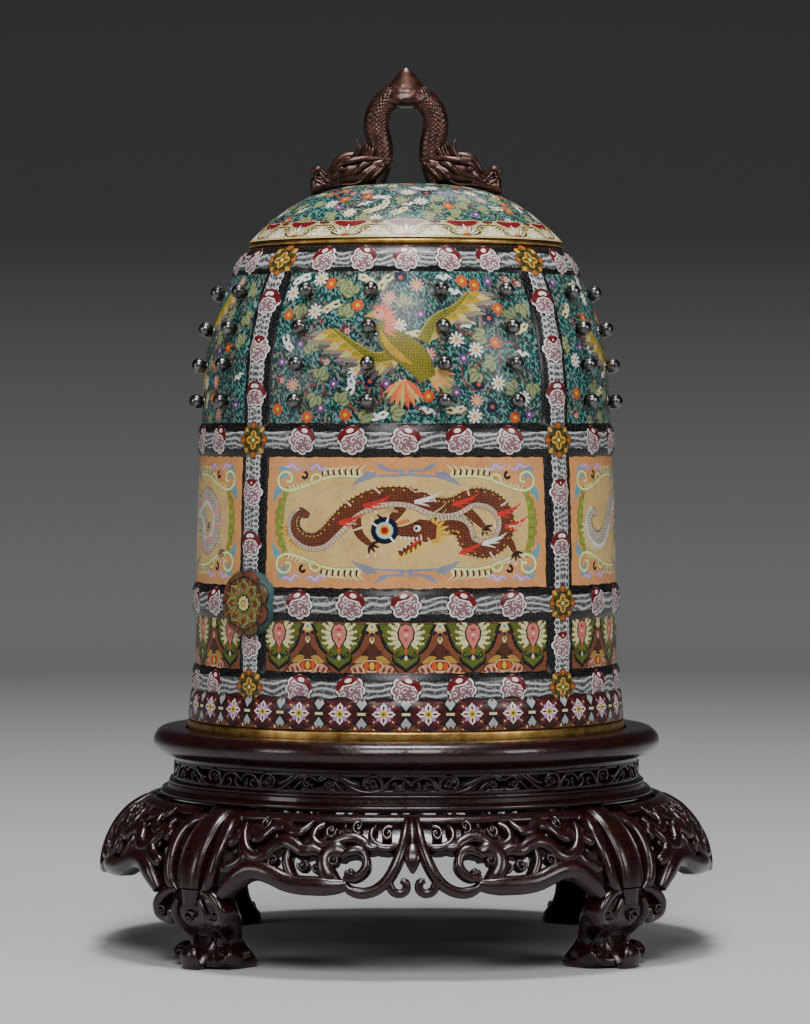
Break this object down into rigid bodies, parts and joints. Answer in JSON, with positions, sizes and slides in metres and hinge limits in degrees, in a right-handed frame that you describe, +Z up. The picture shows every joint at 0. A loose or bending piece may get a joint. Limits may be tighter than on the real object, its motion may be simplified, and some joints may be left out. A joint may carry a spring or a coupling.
{
  "type": "cloisonne covered vessel",
  "caption": "Bell-shaped enamelled vessel with a lift-off domed lid, a dragon loop handle and a pierced wood stand on scroll feet.",
  "frame": {"origin": "on the floor under the middle of the stand", "axes": "+Z up along the vessel's axis, -Y to the front with the heads of the handle towards +X and -X"},
  "size_m": [0.3016, 0.3016, 0.4371],
  "materials": {
    "enamel": "polished cloisonne enamel",
    "gilt": "gilt",
    "bronze": "dark red-brown patina",
    "wood": "polished dark hardwood"
  },
  "bodies": {
    "root": {"vessel_body": "enamel", "base_ring": "gilt", "lid_dome": "enamel", "lid_ring": "gilt", "dragon_handle": "bronze", "striking_boss_front": "enamel", "striking_boss_back": "enamel", "stand_top": "wood", "stand_waist": "wood", "stand_moulding": "wood", "stand_apron_1": "wood", "stand_apron_2": "wood", "stand_apron_3": "wood", "stand_apron_4": "wood", "stand_leg_1": "wood", "stand_leg_2": "wood", "stand_leg_3": "wood", "stand_leg_4": "wood"}
  },
  "joints": []
}
